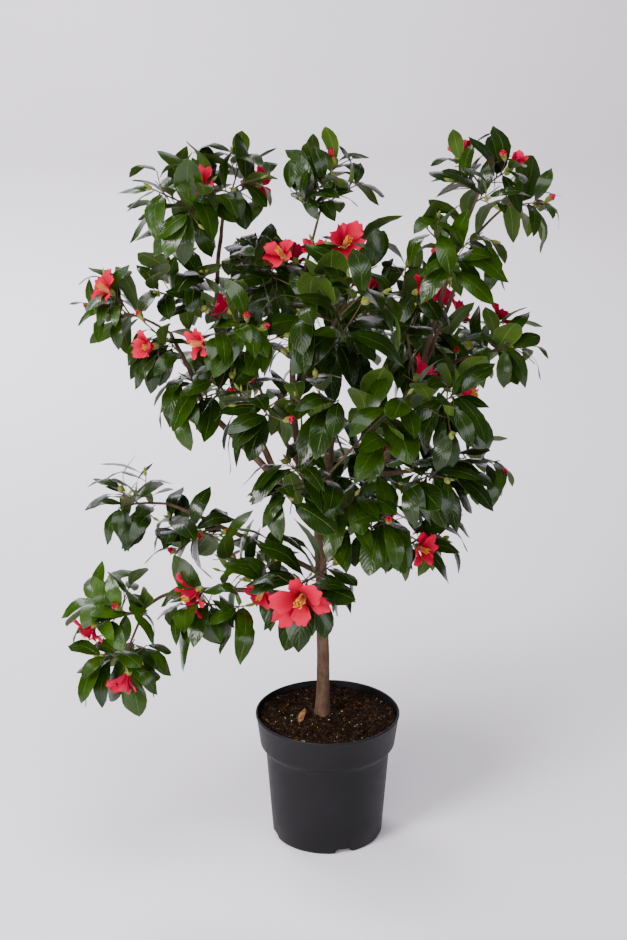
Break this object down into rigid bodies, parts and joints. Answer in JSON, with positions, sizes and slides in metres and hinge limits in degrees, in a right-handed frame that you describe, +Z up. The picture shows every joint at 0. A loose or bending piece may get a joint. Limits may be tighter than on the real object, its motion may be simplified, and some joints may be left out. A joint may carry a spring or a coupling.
{
  "type": "potted camellia shrub",
  "caption": "Camellia shrub with an open crown of glossy leaves and coral-red blossom on a bare trunk, growing in a round tapered plastic nursery pot.",
  "frame": {"origin": "middle of the pot's flat underside", "axes": "+Z up along the trunk, the shrub's widest spread along X, its front facing -Y"},
  "size_m": [0.7604, 0.563, 1.1987],
  "materials": {
    "pot": "dark grey blow-moulded nursery pot, faint sheen",
    "soil": "moist potting compost with bark chips and white grit; stands in as wood",
    "bark": "smooth grey-brown bark",
    "foliage": "glossy evergreen leaves, with coral-red blossom"
  },
  "bodies": {
    "root": {"pot": "pot", "soil": "soil", "trunk": "bark", "back_bough": "bark", "back_right_bough": "bark", "centre_leader_bough": "bark", "centre_left_bough": "bark", "front_bough": "bark", "front_upper_bough": "bark", "left_bough": "bark", "left_leader_bough": "bark", "left_top_bough": "bark", "left_upper_bough": "bark", "low_left_bough": "bark", "low_left_end_bough": "bark", "low_right_bough": "bark", "mid_left_bough": "bark", "mid_left_end_bough": "bark", "right_bough": "bark", "right_low_bough": "bark", "right_side_bough": "bark", "right_twin_bough": "bark", "right_upper_bough": "bark", "back_left_low_spray": "foliage", "back_left_spray": "foliage", "back_low_spray": "foliage", "back_right_spray": "foliage", "back_spray": "foliage", "centre_left_low_spray": "foliage", "centre_left_spray": "foliage", "centre_spray": "foliage", "centre_top_spray": "foliage", "foot_spray": "foliage", "front_low_spray": "foliage", "front_middle_spray": "foliage", "front_right_spray": "foliage", "front_spray": "foliage", "inner_right_spray": "foliage", "left_inner_spray": "foliage", "left_low_spray": "foliage", "left_shoulder_spray": "foliage", "left_tip_spray": "foliage", "left_top_spray": "foliage", "left_under_spray": "foliage", "low_inner_spray": "foliage", "low_left_hanging_spray": "foliage", "low_left_inner_spray": "foliage", "low_left_tip_spray": "foliage", "low_right_spray": "foliage", "low_right_tip_spray": "foliage", "mid_left_inner_spray": "foliage", "mid_left_tip_spray": "foliage", "right_crown_spray": "foliage", "right_front_spray": "foliage", "right_low_inner_spray": "foliage", "right_low_spray": "foliage", "right_shoulder_spray": "foliage", "right_tip_spray": "foliage", "right_top_spray": "foliage", "top_spray": "foliage"}
  },
  "joints": []
}
